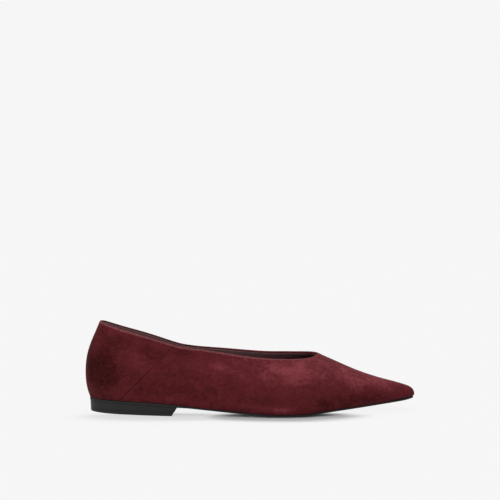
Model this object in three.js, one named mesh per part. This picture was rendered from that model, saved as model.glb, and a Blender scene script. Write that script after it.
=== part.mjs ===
// A right ballet flat with a pointed toe, in millimetres.
// While it is made, +X runs from the heel to the toe, +Y to the inner side of the foot and +Z up.
// The upper's back is then at x = 0 and the floor at z = 0. At the end the shoe is centred over its origin.
import * as THREE from "three";
import { mergeVertices } from "three/addons/utils/BufferGeometryUtils.js";

const { lerp, smoothstep, degToRad } = THREE.MathUtils;

// Driving dimensions
const LENGTH = 265; // back of the upper to the toe point
const BALL_WIDTH = 79; // across the upper at the ball
const HEEL_WIDTH = 59; // across the upper at the heel
const BACK_HEIGHT = 60; // top of the back above the footbed
const INSTEP_HEIGHT = 40.4; // throat above the footbed
const TOE_HEIGHT = 9.7; // toe box above the footbed at the nose
const UPPER_WALL = 1.8; // suede, its lining and the paste between them
const LASTING_MARGIN = 7; // width of the edge turned under the foot
const INSOLE_THICKNESS = 2;
const OUTSOLE_THICKNESS = 2.1;
const OUTSOLE_EDGE = 1.3; // outsole at its edge, from the waist to the toe
const OUTSOLE_BEVEL = 9; // how far in from its edge the outsole reaches full thickness
const HEEL_RISE = 8.5; // footbed at the back above the footbed at the ball
const TOE_SPRING = 8.5; // footbed at the toe above the footbed at the ball
const HEEL_LENGTH = 76; // back of the upper to the top of the heel breast
const HEEL_INSET = 0.3; // heel inside the feather edge
const BREAST_SLANT = 4; // how far the breast leans forward from floor to sole
const BACK_SLANT = 0.7; // how far the heel's back runs in towards the floor
const TOP_PIECE_THICKNESS = 2.6;
const INSOLE_INSET = 2.8; // insole inside the feather edge
const GAP = 0.3; // clearance between pieces that meet

// Sizes that follow from them
const BALL_BED = OUTSOLE_THICKNESS + GAP;
const BACK_CENTRE = 0.42 * HEEL_WIDTH; // centre that the rounded back turns about
const NOSE_CENTRE = LENGTH - 1.2 * TOE_HEIGHT; // centre that the pointed nose turns about

// How round the walls are, as shares
const FEATHER_OUT = 0.7; // of the way out to the widest point, where the wall leaves the feather edge
const FEATHER_UP = 0.25; // of the way up to it, there
const BULGE_UP = 0.6; // of the way up to the widest point, where the wall turns upright
const FULL_UPRIGHT = 0.38; // pull of the curve on an upright wall
const FULL_DOME = 0.58; // pull of the curve over the vamp
const MOST_INWARD = 0.45; // of the way to the shoe's middle that an edge may turn in

// How many facets
const STEPS_PER_SECTION = 2;
const STEPS_LASTING = 2;
const STEPS_BELOW_WIDEST = 3;
const STEPS_ABOVE_WIDEST = 7;
const STEPS_ACROSS = 4;

// Names the columns of a table: one object for each row
function table(columns, rows) {
  return rows.map((row) => Object.fromEntries(columns.map((column, index) => [column, row[index]])));
}

// Footbed seen from the side. along is a share of LENGTH, heel of HEEL_RISE and toe of TOE_SPRING.
const FOOTBED = table(["along", "heel", "toe"], [
  [0, 1, 0],
  [0.11, 0.95, 0],
  [0.21, 0.88, 0],
  [0.28, 0.75, 0],
  [0.35, 0.51, 0],
  [0.42, 0.32, 0],
  [0.49, 0.16, 0],
  [0.54, 0.04, 0],
  [0.58, 0, 0],
  [0.655, 0, 0],
  [0.7, 0, 0.16],
  [0.75, 0, 0.3],
  [0.85, 0, 0.53],
  [0.95, 0, 0.78],
  [1, 0, 1],
]);

// Sections of the last, from heel to toe. Lengths along are shares of LENGTH, half widths are shares of
// the width there, and up is a share of the height there, above the footbed. The foot columns are the
// feather edge, where the upper turns under, and the wide columns are where the upper bulges most.
const SECTIONS = table(
  ["name", "footAlong", "footOuter", "footInner", "wideAlong", "wideOuter", "wideInner", "wideUp"],
  [
    ["back", 0.014, 0, 0, 0, 0, 0, 0.33],
    ["backRound", 0.02, 0.13, 0.13, 0.009, 0.183, 0.183, 0.33],
    ["heelCorner", 0.045, 0.25, 0.25, 0.037, 0.332, 0.329, 0.33],
    ["heelSide", 0.091, 0.355, 0.35, 0.087, 0.439, 0.434, 0.32],
    ["counter", 0.155, 0.428, 0.414, 0.155, 0.502, 0.495, 0.31],
    ["quarter", 0.219, 0.468, 0.411, 0.219, 0.519, 0.502, 0.3],
    ["seam", 0.279, 0.472, 0.373, 0.279, 0.504, 0.471, 0.3],
    ["waist", 0.347, 0.442, 0.323, 0.347, 0.484, 0.429, 0.32],
    ["arch", 0.419, 0.437, 0.298, 0.419, 0.477, 0.402, 0.33],
    ["jointRear", 0.491, 0.45, 0.334, 0.491, 0.49, 0.416, 0.32],
    ["ball", 0.558, 0.473, 0.405, 0.558, 0.511, 0.461, 0.31],
    ["ballFront", 0.611, 0.472, 0.446, 0.611, 0.511, 0.489, 0.295],
    ["throatRear", 0.653, 0.454, 0.456, 0.654, 0.492, 0.494, 0.275],
    ["throatSide", 0.687, 0.429, 0.448, 0.688, 0.465, 0.484, 0.25],
    ["throat", 0.717, 0.4, 0.43, 0.718, 0.434, 0.463, 0.23],
    ["vamp", 0.766, 0.344, 0.382, 0.768, 0.375, 0.413, 0.2],
    ["toeRear", 0.819, 0.277, 0.316, 0.821, 0.303, 0.343, 0.21],
    ["toe", 0.87, 0.208, 0.241, 0.873, 0.229, 0.263, 0.25],
    ["toeFront", 0.917, 0.142, 0.166, 0.921, 0.158, 0.184, 0.32],
    ["noseRear", 0.957, 0.089, 0.104, 0.962, 0.101, 0.118, 0.3],
    ["nose", 0.984, 0.049, 0.057, 0.989, 0.057, 0.066, 0.2],
    ["tip", 0.996, 0, 0, 1, 0, 0, 0.13],
  ],
);

// Topline, a row for each section that the collar is open at, and then the ridge of the vamp.
// lean is the angle in degrees by which the wall leans in from upright at its top.
const TOPS = table(
  ["name", "along", "outer", "inner", "outerUp", "innerUp", "lean"],
  [
    ["back", 0.043, 0, 0, 1, 1, 23],
    ["backRound", 0.05, 0.108, 0.107, 0.998, 0.995, 22],
    ["heelCorner", 0.072, 0.207, 0.203, 0.968, 0.955, 20],
    ["heelSide", 0.113, 0.292, 0.285, 0.92, 0.893, 18],
    ["counter", 0.174, 0.346, 0.339, 0.853, 0.817, 17],
    ["quarter", 0.23, 0.357, 0.35, 0.812, 0.762, 17],
    ["seam", 0.285, 0.343, 0.337, 0.803, 0.744, 18],
    ["waist", 0.349, 0.32, 0.314, 0.878, 0.818, 20],
    ["arch", 0.417, 0.297, 0.291, 0.957, 0.924, 23],
    ["jointRear", 0.487, 0.279, 0.276, 1, 1, 29],
    ["ball", 0.553, 0.268, 0.258, 1.003, 1.02, 38],
    ["ballFront", 0.606, 0.258, 0.235, 0.99, 1.028, 48],
    ["throatRear", 0.647, 0.225, 0.197, 0.988, 1.034, 60],
    ["throatSide", 0.684, 0.147, 0.132, 0.973, 1.025, 74],
    ["throat", 0.706, 0, 0, 1.005, 1.005, 90],
    ["vamp", 0.76, 0, 0, 0.883, 0.883, 90],
    ["toeRear", 0.811, 0, 0, 0.879, 0.879, 90],
    ["toe", 0.86, 0, 0, 0.99, 0.99, 90],
    ["toeFront", 0.904, 0, 0, 1.205, 1.205, 89],
    ["noseRear", 0.939, 0, 0, 1.27, 1.27, 86],
    ["nose", 0.962, 0, 0, 1.02, 1.02, 80],
    ["tip", 0.972, 0, 0, 0.895, 0.895, 72],
  ],
);

const LAST_SECTION = SECTIONS.length - 1;
const THROAT = TOPS.findIndex((top) => top.name === "throat");
const HEEL_ENDS = 0.155; // share of LENGTH up to which the section follows the heel's sizes alone
const BALL_STARTS = 0.53; // share of LENGTH from which it follows the ball's and the instep's
const TOE_STARTS = 0.72; // share of LENGTH from which its height turns to the toe's
const NOSE_STARTS = 0.97; // share of LENGTH from which its height follows the toe's alone

// A smooth curve through rows of a table, at a place along it. Between two equal rows it is level.
function smoothColumn(rows, column, along) {
  const last = rows.length - 1;
  const found = rows.findIndex((row, index) => index > 0 && along <= row.along);
  const next = found < 0 ? last : found;
  const slope = (index) => {
    const before = rows[Math.max(index - 1, 0)];
    const here = rows[index];
    const after = rows[Math.min(index + 1, last)];
    const levelBefore = before !== here && before[column] === here[column];
    const levelAfter = after !== here && after[column] === here[column];
    const rise = levelBefore || levelAfter ? 0 : after[column] - before[column];
    return rise / (after.along - before.along);
  };
  const start = rows[next - 1];
  const end = rows[next];
  const span = end.along - start.along;
  const share = THREE.MathUtils.clamp((along - start.along) / span, 0, 1);
  const rise = end[column] - start[column];
  const startBend = slope(next - 1) * span - rise;
  const endBend = rise - slope(next) * span;
  const bend = lerp(startBend, endBend, share);
  return start[column] + share * rise + share * (1 - share) * bend;
}

// Height of the upper's turned edge above the floor, at x
function bedHeight(x) {
  const along = x / LENGTH;
  return BALL_BED
    + HEEL_RISE * smoothColumn(FOOTBED, "heel", along)
    + TOE_SPRING * smoothColumn(FOOTBED, "toe", along);
}

function sectionWidth(section) {
  return lerp(HEEL_WIDTH, BALL_WIDTH, smoothstep(section.footAlong, HEEL_ENDS, BALL_STARTS));
}

function sectionHeight(section) {
  const rear = lerp(BACK_HEIGHT, INSTEP_HEIGHT, smoothstep(section.footAlong, HEEL_ENDS, BALL_STARTS));
  return lerp(rear, TOE_HEIGHT, smoothstep(section.footAlong, TOE_STARTS, NOSE_STARTS));
}

// The three lines that run round the last, at one section and on one side of the foot
function footPoint(section, side) {
  const share = side === "outer" ? -section.footOuter : section.footInner;
  const x = LENGTH * section.footAlong;
  return new THREE.Vector3(x, share * sectionWidth(section), bedHeight(x));
}

function widePoint(section, side) {
  const share = side === "outer" ? -section.wideOuter : section.wideInner;
  const height = bedHeight(LENGTH * section.footAlong) + section.wideUp * sectionHeight(section);
  return new THREE.Vector3(LENGTH * section.wideAlong, share * sectionWidth(section), height);
}

function topPoint(index, side) {
  const section = SECTIONS[index];
  const top = TOPS[index];
  const share = side === "outer" ? -top.outer : top.inner;
  const up = side === "outer" ? top.outerUp : top.innerUp;
  const height = bedHeight(LENGTH * section.footAlong) + up * sectionHeight(section);
  return new THREE.Vector3(LENGTH * top.along, share * sectionWidth(section), height);
}

// A closed line: forward along the outer side, then back along the inner side
function roundLine(pointAt, lastIndex) {
  const outer = [];
  for (let index = 0; index <= lastIndex; index += 1) {
    outer.push(pointAt(index, "outer"));
  }
  const inner = [];
  for (let index = lastIndex - 1; index > 0; index -= 1) {
    inner.push(pointAt(index, "inner"));
  }
  return new THREE.CatmullRomCurve3([...outer, ...inner], true, "centripetal");
}

const FOOT_LINE = roundLine((index, side) => footPoint(SECTIONS[index], side), LAST_SECTION);
const WIDE_LINE = roundLine((index, side) => widePoint(SECTIONS[index], side), LAST_SECTION);
const TOP_LINE = roundLine(topPoint, THROAT);
const RIDGE = new THREE.CatmullRomCurve3(
  TOPS.slice(THROAT).map((top, index) => topPoint(THROAT + index, "outer")),
  false,
  "centripetal",
);

// Where a station, counted in sections from the back, lies on a closed line with its last section
function lineShare(station, side, lastIndex) {
  const share = station / (2 * lastIndex);
  return side === "outer" ? share : (1 - share) % 1;
}

// Unit vector square to a closed line, level and towards the inside of the shoe
function inwardOf(line, share) {
  const ahead = line.getTangent(share);
  return new THREE.Vector3(-ahead.y, ahead.x, 0).normalize();
}

// The point moved by a distance towards the middle of the shoe, along the footbed
function towardsMiddle(point, distance) {
  const middle = new THREE.Vector3(
    THREE.MathUtils.clamp(point.x, BACK_CENTRE, NOSE_CENTRE),
    0,
    point.z,
  );
  const way = middle.sub(point);
  const room = MOST_INWARD * way.length();
  const moved = point.clone().addScaledVector(way.normalize(), Math.min(distance, room));
  moved.z = bedHeight(moved.x);
  return moved;
}

// The lean of the wall's top at a station between sections
function leanAt(station) {
  const index = Math.min(Math.floor(station), LAST_SECTION - 1);
  return lerp(TOPS[index].lean, TOPS[index + 1].lean, station - index);
}

// Points up one wall, from the feather edge through the widest point to the top
function wallPoints(foot, wide, top, lean) {
  const footRise = wide.z - foot.z;
  const below = new THREE.CubicBezierCurve3(
    foot,
    foot.clone().lerp(wide, FEATHER_OUT).setZ(foot.z + FEATHER_UP * footRise),
    wide.clone().setZ(foot.z + BULGE_UP * footRise),
    wide,
  );
  const way = top.clone().sub(wide).setZ(0);
  const run = way.length();
  const rise = top.z - wide.z;
  const angle = degToRad(lean);
  const fullness = lerp(FULL_UPRIGHT, FULL_DOME, lean / 90);
  const reach = fullness * (run * Math.sin(angle) + rise * Math.cos(angle));
  const topWay = way.normalize().multiplyScalar(Math.sin(angle)).setZ(Math.cos(angle));
  const above = new THREE.CubicBezierCurve3(
    wide,
    wide.clone().setZ(wide.z + fullness * rise),
    top.clone().addScaledVector(topWay, -reach),
    top,
  );
  return [...below.getPoints(STEPS_BELOW_WIDEST), ...above.getPoints(STEPS_ABOVE_WIDEST).slice(1)];
}

// The outer face and the lining face of the upper at one station, each from the edge under the foot up
function upperSection(station, side) {
  const share = lineShare(station, side, LAST_SECTION);
  const foot = FOOT_LINE.getPoint(share);
  foot.z = bedHeight(foot.x);
  const wide = WIDE_LINE.getPoint(share);
  const lean = leanAt(station);
  const closed = station >= THROAT;
  const topShare = lineShare(Math.min(station, THROAT), side, THROAT);
  const top = closed
    ? RIDGE.getPoint((station - THROAT) / (LAST_SECTION - THROAT))
    : TOP_LINE.getPoint(topShare);

  const footIn = foot.clone().addScaledVector(inwardOf(FOOT_LINE, share), UPPER_WALL);
  footIn.z = bedHeight(footIn.x) + UPPER_WALL;
  const wideIn = wide.clone().addScaledVector(inwardOf(WIDE_LINE, share), UPPER_WALL);
  const angle = degToRad(lean);
  const topIn = top.clone().setZ(top.z - UPPER_WALL * Math.sin(angle));
  if (!closed) {
    topIn.addScaledVector(inwardOf(TOP_LINE, topShare), UPPER_WALL * Math.cos(angle));
  }

  const faces = {
    outside: wallPoints(foot, wide, top, lean),
    inside: wallPoints(footIn, wideIn, topIn, lean),
  };
  for (let step = 1; step <= STEPS_LASTING; step += 1) {
    const turned = towardsMiddle(foot, (LASTING_MARGIN * step) / STEPS_LASTING);
    faces.outside.unshift(turned);
    if (step > 1) {
      faces.inside.unshift(turned.clone().setZ(turned.z + UPPER_WALL));
    }
  }
  return faces;
}

// Stations from one section to another, with a fixed number of steps in each
function stations(first, last) {
  const count = Math.ceil((last - first) * STEPS_PER_SECTION);
  return Array.from({ length: count + 1 }, (none, index) => lerp(first, last, index / count));
}

// Gathers faces, and gives them back as one closed body whose faces point out
class Skin {
  constructor() {
    this.corners = [];
  }

  triangle(a, b, c) {
    this.corners.push(a, b, c);
  }

  quad(a, b, c, d) {
    this.triangle(a, b, c);
    this.triangle(a, c, d);
  }

  // Faces between two rows of points, each row open
  strip(rowA, rowB) {
    for (let index = 0; index + 1 < rowA.length; index += 1) {
      this.quad(rowA[index], rowB[index], rowB[index + 1], rowA[index + 1]);
    }
  }

  geometry() {
    const loose = new THREE.BufferGeometry().setFromPoints(this.corners);
    const merged = mergeVertices(loose, 1e-3);
    const place = merged.getAttribute("position");
    const corner = (index) => new THREE.Vector3().fromBufferAttribute(place, index);
    const all = merged.getIndex().array;
    const kept = [];
    let volume = 0;
    for (let index = 0; index < all.length; index += 3) {
      const [a, b, c] = [all[index], all[index + 1], all[index + 2]];
      if (a !== b && b !== c && c !== a) {
        kept.push(a, b, c);
        volume += corner(a).dot(corner(b).cross(corner(c)));
      }
    }
    merged.setIndex(volume < 0 ? kept.reverse() : kept);
    merged.computeVertexNormals();
    return merged;
  }
}

// The hollow upper: outer face, lining face, the rim round the collar and the edge under the foot
function upperGeometry() {
  const skin = new Skin();
  const along = stations(0, LAST_SECTION);
  for (const side of ["outer", "inner"]) {
    const sections = along.map((station) => upperSection(station, side));
    for (let index = 0; index + 1 < sections.length; index += 1) {
      const [here, next] = side === "outer"
        ? [sections[index], sections[index + 1]]
        : [sections[index + 1], sections[index]];
      skin.strip(here.outside, next.outside);
      skin.strip([...here.inside].reverse(), [...next.inside].reverse());
      skin.quad(here.inside[0], next.inside[0], next.outside[0], here.outside[0]);
      if (along[index + 1] <= THROAT) {
        skin.quad(here.outside.at(-1), next.outside.at(-1), next.inside.at(-1), here.inside.at(-1));
      }
    }
  }
  return skin.geometry();
}

// A flat layer, from rings that each cross the shoe: its top from side to side, then its underside back
function layerGeometry(rings, hasFrontFace) {
  const skin = new Skin();
  for (let index = 0; index + 1 < rings.length; index += 1) {
    skin.strip([...rings[index], rings[index][0]], [...rings[index + 1], rings[index + 1][0]]);
  }
  if (hasFrontFace) {
    const front = rings.at(-1);
    const half = front.length / 2;
    skin.strip(front.slice(0, half), front.slice(half).reverse());
  }
  return skin.geometry();
}

// Points from one to another, both of them in it
function pointsAcross(from, to) {
  return Array.from({ length: STEPS_ACROSS + 1 }, (none, index) => {
    return from.clone().lerp(to, index / STEPS_ACROSS);
  });
}

// The feather edge at a station, moved towards the middle of the shoe
function edgePoint(station, side, inset) {
  return towardsMiddle(FOOT_LINE.getPoint(lineShare(station, side, LAST_SECTION)), inset);
}

function raised(point, height) {
  return point.clone().setZ(point.z + height);
}

function insoleGeometry() {
  const underside = UPPER_WALL + GAP;
  const rings = stations(0, LAST_SECTION).map((station) => {
    const outer = edgePoint(station, "outer", INSOLE_INSET);
    const inner = edgePoint(station, "inner", INSOLE_INSET);
    const bottom = pointsAcross(raised(inner, underside), raised(outer, underside));
    const top = pointsAcross(outer, inner).map((point) => raised(point, underside + INSOLE_THICKNESS));
    return [...top, ...bottom];
  });
  return layerGeometry(rings, false);
}

// Thickness of the outsole at its edge: full over the heel, thinner and rounded from there on
function edgeThickness(x) {
  return lerp(OUTSOLE_THICKNESS, OUTSOLE_EDGE, smoothstep(x, HEEL_LENGTH, HEEL_LENGTH + OUTSOLE_BEVEL));
}

function outsoleGeometry() {
  const rings = stations(0, LAST_SECTION).map((station) => {
    const outer = edgePoint(station, "outer", 0);
    const inner = edgePoint(station, "inner", 0);
    const outerIn = edgePoint(station, "outer", OUTSOLE_BEVEL);
    const innerIn = edgePoint(station, "inner", OUTSOLE_BEVEL);
    const top = [outer, ...pointsAcross(outerIn, innerIn), inner].map((point) => raised(point, -GAP));
    const full = -GAP - OUTSOLE_THICKNESS;
    const bottom = [
      raised(inner, -GAP - edgeThickness(inner.x)),
      ...pointsAcross(innerIn, outerIn).map((point) => raised(point, full)),
      raised(outer, -GAP - edgeThickness(outer.x)),
    ];
    return [...top, ...bottom];
  });
  return layerGeometry(rings, false);
}

// Height of the heel's seat, under the outsole
function seatHeight(x) {
  return bedHeight(x) - OUTSOLE_THICKNESS - 2 * GAP;
}

// A point on the heel's side, where the breast and the back slant in towards the floor
function heelPoint(station, side, height) {
  const edge = edgePoint(station, side, HEEL_INSET);
  const seat = seatHeight(edge.x);
  const z = height === "seat" ? seat : height;
  const drop = 1 - z / seat;
  const front = edge.x / HEEL_LENGTH;
  const shift = lerp(BACK_SLANT, -BREAST_SLANT, front);
  return new THREE.Vector3(edge.x + shift * drop, edge.y, z);
}

// The station at which the feather edge has come to x
function stationAt(x) {
  let low = 0;
  let high = LAST_SECTION;
  while (high - low > 1e-6) {
    const middle = (low + high) / 2;
    if (FOOT_LINE.getPoint(lineShare(middle, "outer", LAST_SECTION)).x < x) {
      low = middle;
    } else {
      high = middle;
    }
  }
  return low;
}

function heelLayer(topHeight, bottomHeight) {
  const rings = stations(0, stationAt(HEEL_LENGTH)).map((station) => [
    ...pointsAcross(heelPoint(station, "outer", topHeight), heelPoint(station, "inner", topHeight)),
    ...pointsAcross(heelPoint(station, "inner", bottomHeight), heelPoint(station, "outer", bottomHeight)),
  ]);
  return layerGeometry(rings, true);
}

// Materials
const suede = new THREE.MeshStandardMaterial({ color: 0x5a222a, roughness: 0.95, metalness: 0 });
const sockLeather = new THREE.MeshStandardMaterial({ color: 0x2c2322, roughness: 0.7, metalness: 0 });
const soleRubber = new THREE.MeshStandardMaterial({ color: 0x2a2b2b, roughness: 0.6, metalness: 0 });
const heelRubber = new THREE.MeshStandardMaterial({ color: 0x282a2a, roughness: 0.5, metalness: 0 });

function piece(name, geometry, material) {
  const mesh = new THREE.Mesh(geometry, material);
  mesh.name = name;
  return mesh;
}

const shoe = new THREE.Group();
shoe.add(piece("upper", upperGeometry(), suede));
shoe.add(piece("insole", insoleGeometry(), sockLeather));
shoe.add(piece("outsole", outsoleGeometry(), soleRubber));
shoe.add(piece("heel", heelLayer("seat", TOP_PIECE_THICKNESS + GAP), heelRubber));
shoe.add(piece("heel_top_piece", heelLayer(TOP_PIECE_THICKNESS, 0), heelRubber));

// Centre the shoe over its origin
const bounds = new THREE.Box3().setFromObject(shoe);
const centre = bounds.getCenter(new THREE.Vector3());
shoe.position.set(-centre.x, -centre.y, -bounds.min.z);

export default shoe;
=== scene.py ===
"""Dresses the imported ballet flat: suede upper, lining, sock, sole and heel, on a pale studio floor."""

import math

import bmesh
import bpy
from mathutils import Matrix, Vector
from mathutils.bvhtree import BVHTree
from mathutils.kdtree import KDTree


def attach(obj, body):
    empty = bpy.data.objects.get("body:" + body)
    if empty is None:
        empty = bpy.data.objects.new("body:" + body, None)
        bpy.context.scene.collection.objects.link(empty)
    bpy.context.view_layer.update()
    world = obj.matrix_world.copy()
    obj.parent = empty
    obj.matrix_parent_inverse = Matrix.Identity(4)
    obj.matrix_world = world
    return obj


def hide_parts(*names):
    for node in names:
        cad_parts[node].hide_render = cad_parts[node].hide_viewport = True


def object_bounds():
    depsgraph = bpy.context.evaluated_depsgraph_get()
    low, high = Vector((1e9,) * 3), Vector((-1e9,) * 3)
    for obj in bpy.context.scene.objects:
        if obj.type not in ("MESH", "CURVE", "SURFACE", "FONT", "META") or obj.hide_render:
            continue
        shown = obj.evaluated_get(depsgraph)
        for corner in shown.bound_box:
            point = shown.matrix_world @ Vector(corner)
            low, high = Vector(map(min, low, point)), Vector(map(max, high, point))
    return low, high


bl_info = {
    "name": "Pointed Ballet Flat",
    "version": (1, 0, 0),
    "blender": (4, 5, 0),
    "location": "View3D > Sidebar > Ballet Flat",
    "description": "Builds the dressed pieces of a suede ballet flat around its packed solids",
    "category": "Object",
}

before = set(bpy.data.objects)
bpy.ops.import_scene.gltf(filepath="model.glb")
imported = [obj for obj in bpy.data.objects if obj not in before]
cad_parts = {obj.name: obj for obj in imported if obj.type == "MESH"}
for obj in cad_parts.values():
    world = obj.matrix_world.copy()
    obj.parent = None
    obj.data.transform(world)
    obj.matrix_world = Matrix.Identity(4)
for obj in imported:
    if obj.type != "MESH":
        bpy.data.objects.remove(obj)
CAD_LOW, CAD_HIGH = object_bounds()

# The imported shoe's size and the upper's wall in metres, and the body that every piece rides on
MM = 0.001
LENGTH = CAD_HIGH.x - CAD_LOW.x
HEIGHT = CAD_HIGH.z - CAD_LOW.z
WALL = 1.8 * MM
ROOT = "root"

# How a solid's triangles are welded and paired into quads, which edges count as sharp,
# and how finely edges are rounded and surfaces smoothed
WELD = 0.002 * MM
PAIR_BEND = math.radians(40)
PAIR_SKEW = math.radians(150)
SHARP = math.radians(50)
BEVEL_STEPS = 2
SMOOTHING = 2

# Shares of the height: the topline is above the first, and a ray across at the second meets the inside
TOPLINE_LEVEL = 0.4
INSIDE_LEVEL = 0.45

# Regions of the upper, kept in its faces' material indices while it is made
OUTSIDE, INSIDE = 0, 1

# How far the lift of the rounded rim reaches, and after how many times that it is taken as gone
LIFT_REACH = 3.5 * MM
LIFT_END = 2.5

# The lining's rim slides down by no more than this share of the edge below it
SLIDE_SHARE = 0.7

# Rise of a normal: above the first a stitch would lie on the rim, above the second a face looks up
RIM_SLOPE = 0.45
LOOKS_UP = 0.7

# Edges of the heel below this height touch the floor
FLOOR_BAND = 0.5 * MM


def along(share):
    """The x of a place given as a share of the shoe's length from its back."""
    return CAD_LOW.x + share * LENGTH


def up(share):
    """The z of a place given as a share of the shoe's height."""
    return CAD_LOW.z + share * HEIGHT


# The side seam in side view, from the topline down towards the heel
SEAM_TOP = Vector((along(0.275), 0, up(0.749)))
SEAM_FOOT = Vector((along(0.147), 0, up(0.268)))
SEAM_RUN = (SEAM_TOP - SEAM_FOOT).length
SEAM_WAY = (SEAM_TOP - SEAM_FOOT).normalized()
SEAM_NORMAL = Vector((SEAM_WAY.z, 0, -SEAM_WAY.x))

# The groove is cut where the wall faces sideways at least this much, and this far from the rim's inside
SIDE_FACING = 0.3
RIM_CLEARANCE = WALL + 0.2 * MM

# In half widths of the groove: where vertices crowd it, how far they are welded, and how wide its floor is
CROWDED = 1.6
CROWD_WELD = 2.2
GROOVE_FLOOR = 0.1

# Vertices this close to the seam's plane are taken as lying on it
CUT_TOLERANCE = 0.01 * MM

# The painted shade along the groove's floor, a dark line: half width, start above the seam's top, and end
# as a share of the seam's run
DARK_LINE = 0.1 * MM
DARK_START = 2.0 * MM
DARK_END = 1.3

# Stitches end at this share of the seam's run, have so many sides and rings, and lie this far out
STITCH_END = 1.12
STITCH_SIDES = 8
STITCH_RINGS = 6
STITCH_LIFT = 0.02 * MM

# How far the fold's wear and painted highlight reach, and where the painted shade above the sole starts
# and how far it reaches
FOLD_REACH = 0.45 * MM
FEATHER_START = 1.0 * MM
FEATHER_REACH = 3.0 * MM

# Soft creases and swells of the suede in side view: name, side of the foot (-1 outer, 1 inner),
# start and end as shares of length and height, half width and depth in millimetres, dents above 0
CREASES = [
    ("counter_dent", -1, (0.10, 0.80), (0.19, 0.71), 4.5, 1.1),
    ("back_hollow", -1, (0.07, 0.60), (0.09, 0.35), 7.0, 0.5),
    ("counter_swell", -1, (0.14, 0.62), (0.20, 0.45), 7.5, -0.6),
    ("seam_top_behind", -1, (0.20, 0.61), (0.25, 0.68), 3.2, 0.95),
    ("seam_top_front", -1, (0.275, 0.675), (0.33, 0.655), 3.4, 1.15),
    ("seam_front_swell", -1, (0.26, 0.50), (0.36, 0.56), 6.0, -0.35),
    ("waist_long", -1, (0.31, 0.44), (0.39, 0.40), 5.5, 0.75),
    ("waist_low", -1, (0.38, 0.28), (0.50, 0.24), 6.0, 0.35),
    ("joint_dent", -1, (0.52, 0.50), (0.57, 0.42), 5.0, 0.7),
    ("vamp_swell", -1, (0.60, 0.50), (0.66, 0.40), 9.0, -0.5),
    ("ball_crease", -1, (0.54, 0.22), (0.60, 0.16), 4.0, 0.5),
    ("toe_crease", -1, (0.70, 0.28), (0.78, 0.20), 6.0, 0.45),
    ("inner_counter", 1, (0.11, 0.72), (0.20, 0.62), 5.5, 0.8),
    ("inner_seam_top", 1, (0.28, 0.66), (0.34, 0.63), 4.0, 0.9),
    ("inner_waist", 1, (0.34, 0.42), (0.48, 0.32), 7.0, 0.8),
    ("inner_joint", 1, (0.53, 0.46), (0.60, 0.34), 5.5, 0.65),
    ("inner_vamp", 1, (0.66, 0.40), (0.72, 0.30), 8.0, -0.35),
]

# Places where light and shade are painted into the suede's colour, as painted highlights and painted
# shade: name, centre as shares of length and height, half length and half height in millimetres, and
# strength, lighter above 0
PAINTED_SHADING = [
    ("vamp_side", 0.63, 0.48, 23, 9, 0.42),
    ("vamp_front", 0.79, 0.43, 26, 9, 0.36),
    ("toe_top", 0.87, 0.31, 22, 6, 0.26),
    ("vamp_ridge", 0.70, 0.62, 16, 8, 0.08),
    ("vamp_back", 0.53, 0.56, 16, 7, 0.24),
    ("back_half", 0.18, 0.45, 42, 30, -0.17),
    ("waist_foot_shade", 0.33, 0.24, 34, 7, -0.2),
    ("counter_patch", 0.165, 0.60, 7, 7, 0.36),
    ("counter_foot", 0.135, 0.27, 6, 7, 0.18),
    ("counter_top", 0.115, 0.90, 10, 3, 0.25),
    ("ball_edge", 0.585, 0.085, 13, 2.6, 0.45),
    ("waist_band", 0.40, 0.55, 24, 5.5, 0.25),
    ("waist_foot", 0.27, 0.19, 16, 2.5, 0.2),
    ("toe_side", 0.93, 0.25, 14, 5, 0.1),
    ("back_shade", 0.04, 0.50, 12, 28, -0.45),
    ("counter_dent", 0.105, 0.79, 6, 5, -0.3),
    ("topline_shade", 0.185, 0.715, 7, 3.5, -0.25),
    ("behind_seam", 0.235, 0.655, 5, 4, -0.3),
    ("front_seam", 0.30, 0.675, 8, 3, -0.3),
    ("heel_side_shade", 0.09, 0.42, 15, 14, -0.35),
    ("waist_shade", 0.345, 0.42, 8, 5, -0.15),
    ("joint_shade", 0.54, 0.20, 22, 4, -0.2),
    ("front_low", 0.74, 0.17, 26, 7, -0.3),
    ("toe_shade", 0.87, 0.16, 30, 6.5, -0.33),
]

# Point attributes that the suede reads, each from 0 to 1 but for the painted light and shade
MASKS = ("painted_shading", "fold", "feather", "seam")

# What the nap's clouds and specks add to the suede's lightness, beside the painted light and shade, and
# the ranges of lightness over which the shade gives way to the resting colour and that one to the light
# colour
CLOUD_SHARE = 0.48
SPECK_SHARE = 0.4
DARK_RANGE = (-0.35, 0.5)
LIGHT_RANGE = (0.45, 1.15)

# The fold's line of wear and painted highlight starts and is full at these values of its mask, and is
# rubbed by at least the first share, with specks adding the second. The others are the painted shade above
# the sole and in the seam's groove.
WEAR_AND_HIGHLIGHT_RANGE = (0.35, 1.0)
WEAR_AND_HIGHLIGHT_LEAST = 0.2
WEAR_AND_HIGHLIGHT_SPECKS = 0.5
FEATHER_SHADE = 0.35
SEAM_SHADE = 0.8

# The suns: name, turn in degrees, strength, and spread in degrees
SUNS = [
    ("key_light", (38, -28, 0), 0.6, 35),
    ("fill_light", (60, 35, 0), 0.5, 60),
    ("back_light", (-30, 0, 0), 2.0, 35),
]

# The white surround: how high each strength is met, and a soft panel's way, edge and strength
SKY_RISE = (-0.2, 1.0)
SKY_STRENGTH = (0.35, 0.75)
PANEL_WAY = (-0.80, -0.58, 0.15)
PANEL_EDGE = (0.955, 0.985)
PANEL_STRENGTH = 2.5

# Where the floor takes the shoe's shadow, in front of it and behind it: middle as a share of length
# and as millimetres from the middle plane, half length and half width in millimetres, and strength,
# which is met this share of the way in from the edge of each
CONTACTS = [(0.60, -33, 85, 26, 1.0), (0.24, -33, 110, 24, 0.42), (0.40, 36, 105, 34, 1.0)]
CONTACT_FADE = 0.6


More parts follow.
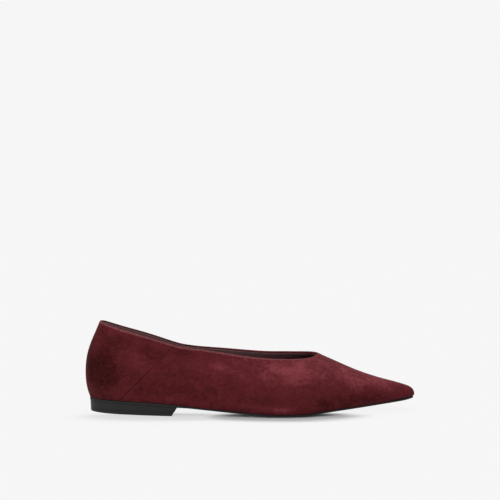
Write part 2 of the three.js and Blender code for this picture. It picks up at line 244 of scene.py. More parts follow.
# Settings that a user can change


def colour_setting(name, description, default):
    """A colour in a group of settings."""
    return bpy.props.FloatVectorProperty(
        name=name, description=description, subtype="COLOR", size=3, min=0, max=1, default=default,
    )


def length_setting(name, description, default):
    """A length in a group of settings, in metres."""
    return bpy.props.FloatProperty(
        name=name, description=description, subtype="DISTANCE", unit="LENGTH", default=default,
    )


def share_setting(name, description, default):
    """A share from 0 to 1 in a group of settings."""
    return bpy.props.FloatProperty(
        name=name, description=description, subtype="FACTOR", min=0, max=1, default=default,
    )


class SuedeSettings(bpy.types.PropertyGroup):
    """Colours and sizes of the suede upper."""

    colour: colour_setting("Suede", "Colour of the resting nap", (0.086, 0.0114, 0.0146))
    # These two colours give the nap's own random tone and also the painted light and painted shade.
    shade: colour_setting("Nap away and painted shade", "Colour where the nap is brushed away", (0.027, 0.0028, 0.0034))
    light: colour_setting("Nap towards and painted light", "Colour where the nap is brushed up", (0.178, 0.034, 0.043))
    # Colour of the fold's wear and painted highlight along the topline.
    wear_and_highlight: colour_setting("Worn fold and painted highlight", "Colour where the folded topline is rubbed", (0.24, 0.085, 0.09))
    rim_radius: length_setting("Fold radius", "Rounding of the folded topline", 0.4 * MM)
    feather_radius: length_setting("Feather radius", "Rounding where the upper turns under", 0.55 * MM)
    seam_width: length_setting("Seam width", "Half width of the side seam's groove", 0.4 * MM)
    seam_depth: length_setting("Seam depth", "Depth of the side seam's groove", 0.5 * MM)


class LiningSettings(bpy.types.PropertyGroup):
    """Colours and sizes of the lining and the sock."""

    colour: colour_setting("Lining", "Colour of the lining leather", (0.18, 0.092, 0.093))
    fold_depth: length_setting(
        "Fold depth", "How far the suede is folded in over the lining", 0.45 * MM,
    )
    thickness: length_setting(
        "Thickness", "Thickness of the lining that stands in from the wall", 0.24 * MM,
    )
    sock_radius: length_setting("Sock radius", "Rounding of the sock's edge", 0.6 * MM)


class SoleSettings(bpy.types.PropertyGroup):
    """Colours and sizes of the outsole and the heel."""

    sole_colour: colour_setting("Outsole", "Colour of the sole sheet", (0.0115, 0.0108, 0.0105))
    heel_colour: colour_setting("Heel", "Colour of the heel block", (0.0115, 0.0112, 0.0108))
    lift_colour: colour_setting("Top piece", "Colour of the heel's top piece", (0.0105, 0.0102, 0.0098))
    edge_radius: length_setting("Edge radius", "Rounding of the sole's and heel's edges", 0.28 * MM)
    joint_radius: length_setting(
        "Joint radius", "Rounding of the edges where heel and top piece meet", 0.1 * MM,
    )
    joint_closing: length_setting(
        "Joint closing", "How far a glued layer rises to the one above it", 0.22 * MM,
    )


class StitchSettings(bpy.types.PropertyGroup):
    """Colours and sizes of the stitches beside the side seams."""

    dark: colour_setting("Thread shade", "Colour of the thread's dark fibres", (0.045, 0.006, 0.008))
    light: colour_setting("Thread", "Colour of the thread's light fibres", (0.09, 0.017, 0.02))
    pitch: length_setting("Pitch", "From one stitch to the next", 2.0 * MM)
    beside: length_setting("Beside", "From the seam to the row of stitches", 1.2 * MM)
    half_length: length_setting("Half length", "Half the length of a stitch", 0.62 * MM)
    half_width: length_setting("Half width", "Half the width of a stitch", 0.2 * MM)
    half_height: length_setting("Half height", "Half the height of a stitch", 0.16 * MM)


class StudioSettings(bpy.types.PropertyGroup):
    """The floor, the light and the camera."""

    backdrop: colour_setting("Backdrop", "Colour behind the floor", (0.922, 0.922, 0.922))
    camera_distance: length_setting(
        "Camera distance", "From the camera to the shoe's middle plane", 0.65,
    )
    camera_height: length_setting("Camera height", "Camera above the floor", 0.1278)
    camera_aside: length_setting("Camera aside", "Camera along the shoe from its middle", -0.2 * MM)
    lens: bpy.props.FloatProperty(
        name="Lens", description="Focal length on a 36 mm sensor", subtype="DISTANCE_CAMERA",
        unit="CAMERA", default=58.14,
    )
    floor_white: colour_setting("Floor", "Colour of the floor", (0.68, 0.68, 0.68))
    floor_glow: share_setting(
        "Floor glow", "Share of the brightness that contact shadows can't take", 0.02,
    )
    open_glow: share_setting("Open glow", "The same share away from the shoe's shadow", 0.95)
    floor_size: length_setting("Floor size", "Half width of the floor", 60.0)


# Mesh helpers


def paired_copy(node):
    """A bmesh of a CAD node, its loose triangles welded and paired back into quads."""
    bm = bmesh.new()
    bm.from_mesh(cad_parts[node].data)
    bmesh.ops.remove_doubles(bm, verts=bm.verts[:], dist=WELD)
    bmesh.ops.join_triangles(
        bm, faces=bm.faces[:], angle_face_threshold=PAIR_BEND, angle_shape_threshold=PAIR_SKEW,
    )
    bm.faces.ensure_lookup_table()
    return bm


def sharp_edges(bm):
    """Edges that stand out and whose two faces meet at a sharp angle."""
    return [
        edge for edge in bm.edges
        if len(edge.link_faces) == 2 and edge.is_convex and edge.calc_face_angle() > SHARP
    ]


def region_from(bm, origin, way, barriers):
    """The faces reached from the first face that a ray meets, without crossing the barriers."""
    bm.faces.ensure_lookup_table()
    bm.faces.index_update()
    start = bm.faces[BVHTree.FromBMesh(bm).ray_cast(origin, way)[2]]
    region = {start}
    waiting = [start]
    while waiting:
        face = waiting.pop()
        for edge in face.edges:
            if edge in barriers:
                continue
            for other in edge.link_faces:
                if other not in region:
                    region.add(other)
                    waiting.append(other)
    return region


def smooth(bm):
    """Smooths a bmesh by Catmull-Clark subdivision."""
    mesh = bpy.data.meshes.new("draft")
    bm.to_mesh(mesh)
    draft = bpy.data.objects.new("draft", mesh)
    bpy.context.scene.collection.objects.link(draft)
    modifier = draft.modifiers.new("Smooth", "SUBSURF")
    modifier.levels = SMOOTHING
    modifier.render_levels = SMOOTHING
    depsgraph = bpy.context.evaluated_depsgraph_get()
    finished = bpy.data.meshes.new_from_object(draft.evaluated_get(depsgraph))
    bm.clear()
    bm.from_mesh(finished)
    bpy.data.objects.remove(draft)
    bpy.data.meshes.remove(mesh)
    bpy.data.meshes.remove(finished)
    bm.normal_update()


def round_edges(bm, edges, radius):
    """Bevels edges to a radius."""
    bmesh.ops.bevel(
        bm, geom=edges, offset=radius, offset_type="OFFSET", segments=BEVEL_STEPS, profile=0.5,
        affect="EDGES", clamp_overlap=True, material=-1,
    )


def add_piece(bm, name, material, nodes=()):
    """Turns a bmesh into a piece of the shoe that rides on the root."""
    mesh = bpy.data.meshes.new(name)
    bm.to_mesh(mesh)
    bm.free()
    for polygon in mesh.polygons:
        polygon.use_smooth = True
    mesh.materials.append(material)
    piece = bpy.data.objects.new(name, mesh)
    bpy.context.scene.collection.objects.link(piece)
    if nodes:
        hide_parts(*nodes)
    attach(piece, ROOT)
    return piece


def fade(away):
    """1 at no distance, falling softly to nothing by about 2.5."""
    return math.exp(-away * away)


def distance_to_line(point, start, end):
    """Distance in side view from a point to a stretch between two places."""
    place = Vector((point.x, point.z))
    first = Vector((along(start[0]), up(start[1])))
    last = Vector((along(end[0]), up(end[1])))
    way = last - first
    share = max(0.0, min(1.0, (place - first).dot(way) / way.length_squared))
    return (place - first - share * way).length


def ellipse_mask(point, across, rise, half_length, half_height):
    """How far a point lies inside a soft ellipse in side view, from 0 to 1."""
    x = (point.x - along(across)) / (half_length * MM)
    z = (point.z - up(rise)) / (half_height * MM)
    return fade(math.hypot(x, z))


def finder_of(points):
    """A finder of the nearest of some points."""
    finder = KDTree(len(points))
    for index, point in enumerate(points):
        finder.insert(point, index)
    finder.balance()
    return finder


# Shader helpers


class Tree:
    """A node tree that is filled a node at a time."""

    def __init__(self, tree):
        self.tree = tree

    def feed(self, node, inputs):
        """Feeds a node's inputs with values or with sockets."""
        for key, value in inputs.items():
            if isinstance(value, bpy.types.NodeSocket):
                self.tree.links.new(value, node.inputs[key])
            else:
                node.inputs[key].default_value = value

    def add(self, kind, inputs=None, **settings):
        """Adds a node, sets its settings and feeds its inputs."""
        node = self.tree.nodes.new(kind)
        for key, value in settings.items():
            setattr(node, key, value)
        self.feed(node, inputs or {})
        return node

    def group(self, group, inputs):
        """The outputs of a node group placed in this tree."""
        return self.add("ShaderNodeGroup", inputs, node_tree=group).outputs

    def maths(self, operation, first, second=0.0, third=0.0):
        """A Math node's result."""
        node = self.add("ShaderNodeMath", {0: first, 1: second, 2: third}, operation=operation)
        return node.outputs[0]

    def ramp(self, value, low, high, to_low=0.0, to_high=1.0):
        """A value carried smoothly from one range to another."""
        node = self.add(
            "ShaderNodeMapRange",
            {"Value": value, "From Min": low, "From Max": high, "To Min": to_low, "To Max": to_high},
            interpolation_type="SMOOTHSTEP",
        )
        return node.outputs["Result"]

    def mix(self, factor, first, second):
        """A mix of two colours."""
        node = self.add("ShaderNodeMix", data_type="RGBA")
        self.feed(node, {0: factor, 6: first, 7: second})
        return node.outputs[2]

    def noise(self, vector, scale, detail, roughness, distortion=0.0):
        """A noise texture's value."""
        node = self.add(
            "ShaderNodeTexNoise",
            {"Vector": vector, "Scale": scale, "Detail": detail, "Roughness": roughness,
             "Distortion": distortion},
        )
        return node.outputs["Fac"]

    def place(self, scale=(1, 1, 1), turn=(0, 0, 0), shift=(0, 0, 0)):
        """Object coordinates through a Mapping node."""
        coordinates = self.add("ShaderNodeTexCoord").outputs["Object"]
        node = self.add(
            "ShaderNodeMapping",
            {"Vector": coordinates, "Scale": scale, "Rotation": turn, "Location": shift},
        )
        return node.outputs["Vector"]

    def bump(self, height, distance, strength=1.0):
        """A Bump node's normal."""
        node = self.add(
            "ShaderNodeBump", {"Height": height, "Distance": distance, "Strength": strength},
        )
        return node.outputs["Normal"]


def opaque(colour):
    """A colour with its alpha."""
    return (*colour, 1.0)


def new_group(name, inputs, outputs):
    """A shader node group with named sockets, its Tree, what it is given and its output node."""
    group = bpy.data.node_groups.new(name, "ShaderNodeTree")
    for title, value in inputs.items():
        kind = "NodeSocketVector" if isinstance(value, tuple) else "NodeSocketFloat"
        socket = group.interface.new_socket(title, in_out="INPUT", socket_type=kind)
        socket.default_value = value
    for title in outputs:
        group.interface.new_socket(title, in_out="OUTPUT", socket_type="NodeSocketFloat")
    tree = Tree(group)
    return group, tree, tree.add("NodeGroupInput").outputs, tree.add("NodeGroupOutput")


def nap_group(name):
    """Napped hide: cloudy brushing and single fibres, as masks from 0 to 1 and a height."""
    group, tree, given, result = new_group(
        name,
        {"Vector": (0, 0, 0), "Cloud Size": 12 * MM, "Fibre Size": 0.6 * MM},
        ["Clouds", "Specks", "Height"],
    )
    cloud_scale = tree.maths("DIVIDE", 1.0, given["Cloud Size"])
    fibre_scale = tree.maths("DIVIDE", 1.0, given["Fibre Size"])
    patch_scale = tree.maths("MULTIPLY", cloud_scale, 3.7)
    tuft_scale = tree.maths("MULTIPLY", fibre_scale, 0.3)
    clouds = tree.noise(given["Vector"], cloud_scale, detail=4.0, roughness=0.6, distortion=0.7)
    patches = tree.noise(given["Vector"], patch_scale, detail=3.0, roughness=0.65, distortion=0.4)
    fibres = tree.noise(given["Vector"], fibre_scale, detail=2.0, roughness=0.7, distortion=0.2)
    tufts = tree.noise(given["Vector"], tuft_scale, detail=3.0, roughness=0.65, distortion=0.5)
    cloudy = tree.maths("MULTIPLY_ADD", patches, 0.4, tree.maths("MULTIPLY", clouds, 0.6))
    specks = tree.maths("MULTIPLY_ADD", tufts, 0.5, tree.maths("MULTIPLY", fibres, 0.5))
    height = tree.maths("MULTIPLY_ADD", fibres, 0.55, tree.maths("MULTIPLY", tufts, 0.9))
    tree.feed(result, {
        "Clouds": tree.ramp(cloudy, 0.32, 0.68),
        "Specks": tree.ramp(specks, 0.3, 0.7),
        "Height": height,
    })
    return group


def grain_group(name):
    """Fine pebbled grain and rubbed dust for leather and rubber."""
    group, tree, given, result = new_group(
        name,
        {"Vector": (0, 0, 0), "Pebble Size": 0.8 * MM, "Dust Size": 9 * MM},
        ["Pebbles", "Dust", "Height"],
    )
    pebble_scale = tree.maths("DIVIDE", 1.0, given["Pebble Size"])
    dust_scale = tree.maths("DIVIDE", 1.0, given["Dust Size"])
    wander_scale = tree.maths("MULTIPLY", pebble_scale, 0.4)
    pebbles = tree.add(
        "ShaderNodeTexVoronoi", {"Vector": given["Vector"], "Scale": pebble_scale}, feature="SMOOTH_F1",
    ).outputs["Distance"]
    wander = tree.noise(given["Vector"], wander_scale, detail=3.0, roughness=0.6)
    dust = tree.noise(given["Vector"], dust_scale, detail=6.0, roughness=0.7, distortion=0.6)
    tree.feed(result, {
        "Pebbles": pebbles,
        "Dust": tree.ramp(dust, 0.5, 0.8),
        "Height": tree.maths("MULTIPLY_ADD", wander, 0.6, tree.maths("MULTIPLY", pebbles, 0.7)),
    })
    return group


def shared_group(name, maker):
    """A node group that is built once and then found by its name."""
    return bpy.data.node_groups.get(name) or maker(name)


def shared_material(name, maker, *settings, **values):
    """A material that is built once and then found by its name."""
    return bpy.data.materials.get(name) or maker(name, *settings, **values)


def new_material(name):
    """A material, its Tree and its Principled shader."""
    material = bpy.data.materials.new(name)
    material.use_nodes = True
    return material, Tree(material.node_tree), material.node_tree.nodes["Principled BSDF"]


# Materials


def suede_material(name, settings):
    """Burgundy suede: cloudy nap, painted light and shade in patches, a worn fold with a painted
    highlight, and painted shade along the sole and in the seam's groove.
    """
    material, tree, shader = new_material(name)
    spot = tree.place(scale=(1.0, 1.0, 1.25), turn=(0.0, math.radians(12), 0.0))
    nap = tree.group(
        shared_group("Nap", nap_group),
        {"Vector": spot, "Cloud Size": 13 * MM, "Fibre Size": 0.55 * MM},
    )
    mask = {
        title: tree.add("ShaderNodeAttribute", attribute_name=title).outputs["Fac"]
        for title in MASKS
    }
    # Patches of painted light and painted shade raise and lower the lightness here.
    lightness = tree.maths("MULTIPLY_ADD", nap["Clouds"], CLOUD_SHARE, mask["painted_shading"])
    lightness = tree.maths("MULTIPLY_ADD", nap["Specks"], SPECK_SHARE, lightness)
    shade = opaque(settings.shade)
    colour = tree.mix(tree.ramp(lightness, *DARK_RANGE), shade, opaque(settings.colour))
    colour = tree.mix(tree.ramp(lightness, *LIGHT_RANGE), colour, opaque(settings.light))
    # The fold's line is partly wear and partly a painted highlight, speckled by the nap.
    rubbed = tree.maths("MULTIPLY_ADD", nap["Specks"], WEAR_AND_HIGHLIGHT_SPECKS, WEAR_AND_HIGHLIGHT_LEAST)
    wear_and_highlight = tree.maths("MULTIPLY", tree.ramp(mask["fold"], *WEAR_AND_HIGHLIGHT_RANGE), rubbed)
    colour = tree.mix(wear_and_highlight, colour, opaque(settings.wear_and_highlight))
    # Painted shade darkens the suede just above the sole.
    colour = tree.mix(tree.maths("MULTIPLY", mask["feather"], FEATHER_SHADE), colour, shade)
    # Painted shade darkens a thin line along the seam's groove.
    colour = tree.mix(tree.maths("MULTIPLY", mask["seam"], SEAM_SHADE), colour, shade)
    tree.feed(shader, {
        "Base Color": colour,
        "Normal": tree.bump(nap["Height"], 0.35 * MM, 0.8),
        "Roughness": tree.ramp(nap["Specks"], 0.0, 1.0, 0.98, 0.86),
        "Specular IOR Level": 0.06,
        "Sheen Weight": 0.03,
        "Sheen Roughness": 0.45,
        "Sheen Tint": (1.0, 0.4, 0.42, 1.0),
    })
    return material


def leather_material(name, colour, roughness, pebble):
    """Smooth dark leather with a fine grain."""
    material, tree, shader = new_material(name)
    grain = tree.group(
        shared_group("Grain", grain_group),
        {"Vector": tree.place(), "Pebble Size": pebble, "Dust Size": 14 * MM},
    )
    dust_grey = 0.05
    dust_share = 0.35
    dusty = tuple(value + dust_share * (dust_grey - value) for value in colour)
    pores = (0.004, 0.003, 0.003)
    shade = tree.mix(grain["Dust"], opaque(colour), opaque(dusty))
    shade = tree.mix(tree.maths("MULTIPLY", grain["Pebbles"], 0.35), shade, opaque(pores))
    tree.feed(shader, {
        "Base Color": shade,
        "Normal": tree.bump(grain["Height"], 0.08 * MM, 0.6),
        "Roughness": tree.ramp(grain["Dust"], 0.0, 1.0, roughness, roughness + 0.15),
        "Specular IOR Level": 0.2,
    })
    return material


def rubber_material(name, colour, roughness, dust, depth):
    """Black sole sheet or heel: faint grain, rubbed with a little pale dust."""
    material, tree, shader = new_material(name)
    grain = tree.group(
        shared_group("Grain", grain_group),
        {"Vector": tree.place(), "Pebble Size": 0.7 * MM, "Dust Size": 11 * MM},
    )
    dust_lift = 0.014
    dusty = tuple(value + dust_lift for value in colour)
    shade = tree.mix(tree.maths("MULTIPLY", grain["Dust"], dust), opaque(colour), opaque(dusty))
    tree.feed(shader, {
        "Base Color": shade,
        "Normal": tree.bump(grain["Height"], depth, 0.6),
        "Roughness": tree.ramp(grain["Dust"], 0.0, 1.0, roughness, roughness + 0.2),
        "Specular IOR Level": 0.2,
    })
    return material


def thread_material(name, settings):
    """Burgundy thread, dull like the suede that it sinks into."""
    material, tree, shader = new_material(name)
    nap = tree.group(
        shared_group("Nap", nap_group),
        {"Vector": tree.place(), "Cloud Size": 4 * MM, "Fibre Size": 0.3 * MM},
    )
    tree.feed(shader, {
        "Base Color": tree.mix(nap["Specks"], opaque(settings.dark), opaque(settings.light)),
        "Normal": tree.bump(nap["Height"], 0.05 * MM),
        "Roughness": 0.85,
        "Specular IOR Level": 0.12,
    })
    return material


def floor_material(name, settings):
    """White floor that takes the shoe's shadow near it and glows by itself elsewhere."""
    material, tree, shader = new_material(name)
    contact = 0.0
    for middle, aside, half_length, half_width, strength in CONTACTS:
        reach = (half_length * MM, half_width * MM)
        spot = tree.place(
            scale=(1 / reach[0], 1 / reach[1], 1.0),
            shift=(-along(middle) / reach[0], -aside * MM / reach[1], 0),
        )
        zone = tree.add("ShaderNodeTexGradient", {"Vector": spot}, gradient_type="SPHERICAL")
        shade = tree.ramp(zone.outputs["Fac"], 0.0, CONTACT_FADE, 0.0, strength)
        contact = tree.maths("MAXIMUM", contact, shade)
    glow = tree.ramp(contact, 0.0, 1.0, settings.open_glow, settings.floor_glow)
    black = (0, 0, 0, 1)
    tree.feed(shader, {
        "Base Color": tree.mix(glow, opaque(settings.floor_white), black),
        "Emission Color": tree.mix(glow, black, opaque(settings.backdrop)),
        "Emission Strength": 1.0,
        "Roughness": 1.0,
        "Specular IOR Level": 0.0,
    })
    return material


# Steps of the upper and the lining


def mark_inside(bm):
    """Marks the faces of the lining side, which the rim and the turned edge part from the outside."""
    middle = Vector((0, 0, up(INSIDE_LEVEL)))
    inside = region_from(bm, middle, Vector((0, 1, 0)), set(sharp_edges(bm)))
    for face in bm.faces:
        face.material_index = INSIDE if face in inside else OUTSIDE
    return inside


def topline_edges(bm):
    """The sharp edges of the folded topline."""
    return [
        edge for edge in sharp_edges(bm)
        if min(vert.co.z for vert in edge.verts) > up(TOPLINE_LEVEL)
    ]


def topline_points(bm):
    """The points of the topline where the lining side begins."""
    return [
        vert.co.copy() for vert in bm.verts
        if len({face.material_index for face in vert.link_faces}) == 2
        and vert.co.z > up(TOPLINE_LEVEL)
    ]


def lift_rim(bm, rim, height):
    """Gives back the height that rounding takes off the topline."""
    for vert in bm.verts:
        away = rim.find(vert.co)[2] / LIFT_REACH
        if away < LIFT_END:
            vert.co.z += height * fade(away)


def press_creases(bm):
    """Presses the soft creases into the outside."""
    for vert in bm.verts:
        if any(face.material_index == INSIDE for face in vert.link_faces):
            continue
        push = 0.0
        for _, side, start, end, width, depth in CREASES:
            if vert.co.y * side < 0 or vert.normal.y * vert.co.y <= 0:
                continue
            away = distance_to_line(vert.co, start, end) / (width * MM)
            push += depth * MM * fade(away) * abs(vert.normal.y)
        vert.co -= push * vert.normal
    bm.normal_update()


def seam_distance(point):
    """Distance in side view from a point to the side seam's line."""
    return abs((point - SEAM_TOP).dot(SEAM_NORMAL))


def seam_faces(bm, rim):
    """The outside faces that the groove may cross: on the sides, clear of the rim."""
    found = []
    for face in bm.faces:
        middle = face.calc_center_median()
        if face.material_index != OUTSIDE or face.normal.y * middle.y <= 0:
            continue
        if abs(face.normal.y) > SIDE_FACING and rim.find(middle)[2] > RIM_CLEARANCE:
            found.append(face)
    return found


def cut_seams(bm, width, depth, rim):
    """Cuts the side seam's groove into both sides of the outside."""
    faces = seam_faces(bm, rim)
    edges = {edge for face in faces for edge in face.edges}
    verts = {vert for face in faces for vert in face.verts}
    cut = bmesh.ops.bisect_plane(
        bm, geom=[*faces, *edges, *verts], dist=CUT_TOLERANCE, plane_co=SEAM_TOP,
        plane_no=SEAM_NORMAL,
    )
    on_line = {item for item in cut["geom_cut"] if isinstance(item, bmesh.types.BMVert)}
    crowding = {
        vert for face in faces if face.is_valid for vert in face.verts
        if vert not in on_line and seam_distance(vert.co) < CROWDED * width
    }
    doubles = bmesh.ops.find_doubles(
        bm, verts=[*on_line, *crowding], keep_verts=[*on_line], dist=CROWD_WELD * width,
    )["targetmap"]
    bmesh.ops.weld_verts(
        bm, targetmap={vert: kept for vert, kept in doubles.items() if vert in crowding},
    )
    line = [
        edge for edge in bm.edges if edge.verts[0] in on_line and edge.verts[1] in on_line
    ]
    bevelled = bmesh.ops.bevel(
        bm, geom=line, offset=width, offset_type="OFFSET", segments=2, profile=0.5,
        affect="EDGES", clamp_overlap=False, material=-1,
    )
    bm.normal_update()
    for vert in bevelled["verts"]:
        if seam_distance(vert.co) < GROOVE_FLOOR * width:
            vert.co -= depth * vert.normal


def paint_masks(mesh, rim):
    """Point attributes that the suede reads: patches of painted light and shade, the fold's wear and
    painted highlight, and painted shade above the sole and in the seam's groove.
    """
    bed = finder_of([vertex.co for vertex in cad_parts["outsole"].data.vertices])
    for name in MASKS:
        mesh.attributes.new(name, "FLOAT", "POINT")
    painted_shading, fold, feather, seam = (mesh.attributes[name].data for name in MASKS)
    for index, vertex in enumerate(mesh.vertices):
        place = vertex.co
        # Patches of painted light and painted shade, lighter above 0.
        painted_shading[index].value = sum(
            strength * ellipse_mask(place, across, rise, half_length, half_height)
            for _, across, rise, half_length, half_height, strength in PAINTED_SHADING
        )
        # The fold's wear and painted highlight, strongest at the rim's outer edge.
        fold[index].value = fade((rim.find(place)[2] - WALL) / FOLD_REACH)
        # Painted shade above the sole, fading upwards from the outsole.
        feather[index].value = fade(max(0.0, bed.find(place)[2] - FEATHER_START) / FEATHER_REACH)
        # A thin line of painted shade along the seam's groove.
        below = (SEAM_TOP - place).dot(SEAM_WAY)
        on_run = -DARK_START < below < DARK_END * SEAM_RUN
        seam[index].value = 1.0 if on_run and seam_distance(place) < DARK_LINE else 0.0


def slide_rim_down(bm, depth):
    """Moves the open rim at the topline down the wall, along the edges that lead down from it."""
    moves = {}
    for vert in bm.verts:
        if not vert.is_boundary or vert.co.z < up(TOPLINE_LEVEL):
            continue
        ways = [
            edge.other_vert(vert).co - vert.co for edge in vert.link_edges if not edge.is_boundary
        ]
        if ways:
            way = min(ways, key=lambda way: way.normalized().z)
            moves[vert] = way.normalized() * min(depth, SLIDE_SHARE * way.length)
    for vert, move in moves.items():
        vert.co += move


# Pieces


class UpperOperator(bpy.types.Operator):
    """Make the suede upper"""

    bl_idname = "flat.upper"
    bl_label = "Suede upper"

    def execute(self, context):
        settings = context.scene.flat_suede
        bm = paired_copy("upper")
        mark_inside(bm)
        topline = set(topline_edges(bm))
        feather = [edge for edge in sharp_edges(bm) if edge not in topline]
        round_edges(bm, feather, settings.feather_radius)
        round_edges(bm, topline_edges(bm), settings.rim_radius)
        smooth(bm)
        rim = finder_of(topline_points(bm))
        lift_rim(bm, rim, settings.rim_radius)
        press_creases(bm)
        cut_seams(bm, settings.seam_width, settings.seam_depth, rim)
        for face in bm.faces:
            face.material_index = 0
        suede = shared_material("burgundy_suede", suede_material, settings)
        piece = add_piece(bm, "upper_suede", suede, ["upper"])
        paint_masks(piece.data, rim)
        return {"FINISHED"}


class LiningOperator(bpy.types.Operator):
    """Make the lining that the folded suede holds"""

    bl_idname = "flat.lining"
    bl_label = "Lining"

    def execute(self, context):
        settings = context.scene.flat_lining
        bm = paired_copy("upper")
        inside = mark_inside(bm)
        outside = [face for face in bm.faces if face not in inside]
        bmesh.ops.delete(bm, geom=outside, context="FACES")
        slide_rim_down(bm, settings.fold_depth)
        smooth(bm)
        raised = bmesh.ops.extrude_face_region(bm, geom=bm.faces[:], use_keep_orig=True)["geom"]
        bm.normal_update()
        for item in raised:
            if isinstance(item, bmesh.types.BMVert):
                item.co += settings.thickness * item.normal
        bmesh.ops.recalc_face_normals(bm, faces=bm.faces[:])
        leather = shared_material(
            "lining_leather", leather_material, settings.colour, roughness=0.6, pebble=0.9 * MM,
        )
        add_piece(bm, "lining", leather)
        return {"FINISHED"}


class SockOperator(bpy.types.Operator):
    """Make the sock that covers the insole"""

    bl_idname = "flat.sock"
    bl_label = "Sock"

    def execute(self, context):
        settings = context.scene.flat_lining
        bm = paired_copy("insole")
        round_edges(bm, sharp_edges(bm), settings.sock_radius)
        smooth(bm)
        leather = shared_material(
            "sock_leather", leather_material, settings.colour, roughness=0.55, pebble=1.2 * MM,
        )
        add_piece(bm, "sock", leather, ["insole"])
        return {"FINISHED"}


class OutsoleOperator(bpy.types.Operator):
    """Make the thin outsole"""

    bl_idname = "flat.outsole"
    bl_label = "Outsole"

    def execute(self, context):
        settings = context.scene.flat_sole
        bm = paired_copy("outsole")
        round_edges(bm, sharp_edges(bm), settings.edge_radius)
        smooth(bm)
        sheet = shared_material(
            "sole_sheet", rubber_material, settings.sole_colour,
            roughness=0.55, dust=0.5, depth=0.12 * MM,
        )
        add_piece(bm, "outsole_sheet", sheet, ["outsole"])
        return {"FINISHED"}


class HeelOperator(bpy.types.Operator):
    """Make the heel block and its top piece"""

    bl_idname = "flat.heel"
    bl_label = "Heel"

    def execute(self, context):
        settings = context.scene.flat_sole
        block = shared_material(
            "heel_block_black", rubber_material, settings.heel_colour,
            roughness=0.46, dust=0.35, depth=0.05 * MM,
        )
        lift = shared_material(
            "heel_lift", rubber_material, settings.lift_colour,
            roughness=0.52, dust=0.4, depth=0.08 * MM,
        )
        pieces = [
            ("heel_block", "heel", block, "heel_cover"),
            ("top_piece", "heel_top_piece", lift, "heel_rubber"),
        ]
        for name, node, material, slot in pieces:
            bm = paired_copy(node)
            bm.normal_update()
            top = {vert for face in bm.faces if face.normal.z > LOOKS_UP for vert in face.verts}
            for vert in top:
                vert.co.z += settings.joint_closing
            floor_edges = [
                edge for edge in sharp_edges(bm) if max(vert.co.z for vert in edge.verts) < FLOOR_BAND
            ]
            round_edges(bm, floor_edges, settings.edge_radius)
            round_edges(bm, sharp_edges(bm), settings.joint_radius)
            smooth(bm)
            add_piece(bm, name, material, [node])
        return {"FINISHED"}


class StitchOperator(bpy.types.Operator):
    """Make the stitches beside the side seams"""

    bl_idname = "flat.stitches"
    bl_label = "Seam stitches"

    def execute(self, context):
        settings = context.scene.flat_stitches
        suede = bpy.data.objects["upper_suede"]
        surface = BVHTree.FromObject(suede, context.evaluated_depsgraph_get())
        size = Matrix.Diagonal(
            (settings.half_length, settings.half_width, settings.half_height, 1),
        )
        count = int(SEAM_RUN * STITCH_END / settings.pitch)
        bm = bmesh.new()
        for side in (-1, 1):
            for index in range(1, count):
                down = settings.pitch * index * SEAM_WAY
                spot = SEAM_TOP - down + settings.beside * SEAM_NORMAL
                start = Vector((spot.x, side * LENGTH, spot.z))
                hit, normal, _, _ = surface.ray_cast(start, Vector((0, -side, 0)))
                if hit is None or normal.z > RIM_SLOPE:
                    continue
                lay = (SEAM_WAY - SEAM_WAY.dot(normal) * normal).normalized()
                turn = Matrix((lay, normal.cross(lay), normal)).transposed().to_4x4()
                bmesh.ops.create_uvsphere(
                    bm, u_segments=STITCH_SIDES, v_segments=STITCH_RINGS, radius=1.0,
                    matrix=Matrix.Translation(hit + STITCH_LIFT * normal) @ turn @ size,
                )
        thread = shared_material("burgundy_thread", thread_material, settings)
        add_piece(bm, "seam_stitches", thread)
        return {"FINISHED"}


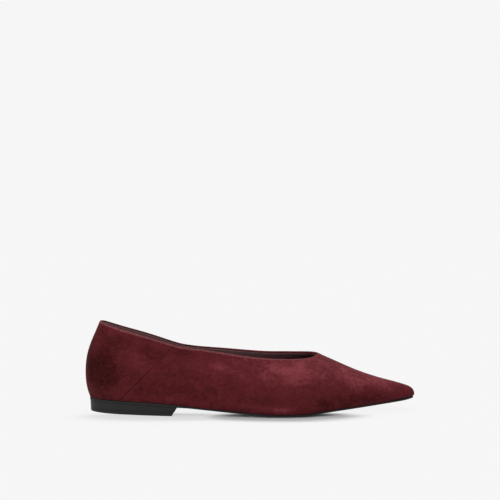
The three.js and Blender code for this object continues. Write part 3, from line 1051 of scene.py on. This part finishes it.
class StageOperator(bpy.types.Operator):
    """Make the floor, the light and the camera"""

    bl_idname = "flat.stage"
    bl_label = "Studio"

    def execute(self, context):
        scene = context.scene
        settings = scene.flat_studio
        scene.view_settings.view_transform = "Standard"
        self.lay_floor(scene, settings)
        self.light_world(scene, settings)
        self.hang_suns(scene)
        self.set_camera(scene, settings)
        return {"FINISHED"}

    def lay_floor(self, scene, settings):
        """A floor so wide that its far edge meets the backdrop."""
        bm = bmesh.new()
        bmesh.ops.create_grid(bm, x_segments=1, y_segments=1, size=settings.floor_size)
        mesh = bpy.data.meshes.new("studio_floor")
        bm.to_mesh(mesh)
        bm.free()
        mesh.materials.append(floor_material("studio_floor", settings))
        floor = bpy.data.objects.new("studio_floor", mesh)
        scene.collection.objects.link(floor)

    def light_world(self, scene, settings):
        """A white surround that lights the shoe, brighter overhead, behind a plain backdrop."""
        world = bpy.data.worlds.new("studio")
        scene.world = world
        world.use_nodes = True
        world.node_tree.nodes.clear()
        tree = Tree(world.node_tree)
        way = tree.add("ShaderNodeTexCoord").outputs["Generated"]
        rise = tree.add("ShaderNodeSeparateXYZ", {0: way}).outputs["Z"]
        sky = tree.ramp(rise, *SKY_RISE, *SKY_STRENGTH)
        facing = tree.add("ShaderNodeVectorMath", {0: way, 1: PANEL_WAY}, operation="DOT_PRODUCT")
        panel = tree.ramp(facing.outputs["Value"], *PANEL_EDGE, 0.0, PANEL_STRENGTH)
        strength = tree.maths("ADD", sky, panel)
        lit = tree.add("ShaderNodeBackground", {"Color": (1, 1, 1, 1), "Strength": strength})
        plain = tree.add("ShaderNodeBackground", {"Color": opaque(settings.backdrop)})
        seen = tree.add("ShaderNodeLightPath").outputs["Is Camera Ray"]
        both = tree.add("ShaderNodeMixShader", {0: seen, 1: lit.outputs[0], 2: plain.outputs[0]})
        tree.add("ShaderNodeOutputWorld", {"Surface": both.outputs[0]})

    def hang_suns(self, scene):
        """The suns, of which the one from behind throws the shadow forwards."""
        for name, turn, strength, spread in SUNS:
            light = bpy.data.lights.new(name, "SUN")
            light.energy = strength
            light.angle = math.radians(spread)
            lamp = bpy.data.objects.new(name, light)
            lamp.rotation_euler = [math.radians(value) for value in turn]
            scene.collection.objects.link(lamp)

    def set_camera(self, scene, settings):
        """A level camera at the shoe's outer side."""
        camera = bpy.data.cameras.new("camera")
        camera.lens = settings.lens
        camera.sensor_width = 36.0
        camera.clip_end = 200.0
        view = bpy.data.objects.new("camera", camera)
        view.location = (settings.camera_aside, -settings.camera_distance, settings.camera_height)
        view.rotation_euler = (math.radians(90), 0, 0)
        scene.collection.objects.link(view)
        scene.camera = view


class FlatPanel(bpy.types.Panel):
    """Lists the pieces of the ballet flat."""

    bl_idname = "VIEW3D_PT_flat"
    bl_label = "Ballet flat"
    bl_space_type = "VIEW_3D"
    bl_region_type = "UI"
    bl_category = "Ballet Flat"

    def draw(self, context):
        for operator in PIECES:
            self.layout.operator(operator.bl_idname)


PIECES = [
    UpperOperator,
    LiningOperator,
    SockOperator,
    OutsoleOperator,
    HeelOperator,
    StitchOperator,
    StageOperator,
]
SETTINGS = {
    "flat_suede": SuedeSettings,
    "flat_lining": LiningSettings,
    "flat_sole": SoleSettings,
    "flat_stitches": StitchSettings,
    "flat_studio": StudioSettings,
}


def register():
    for name, settings in SETTINGS.items():
        bpy.utils.register_class(settings)
        setattr(bpy.types.Scene, name, bpy.props.PointerProperty(type=settings))
    for operator in PIECES:
        bpy.utils.register_class(operator)
    bpy.utils.register_class(FlatPanel)


def unregister():
    bpy.utils.unregister_class(FlatPanel)
    for operator in reversed(PIECES):
        bpy.utils.unregister_class(operator)
    for name, settings in SETTINGS.items():
        delattr(bpy.types.Scene, name)
        bpy.utils.unregister_class(settings)


def main():
    register()
    bpy.ops.flat.upper()
    bpy.ops.flat.lining()
    bpy.ops.flat.sock()
    bpy.ops.flat.outsole()
    bpy.ops.flat.heel()
    bpy.ops.flat.stitches()
    bpy.ops.flat.stage()


if __name__ == "__main__":
    main()
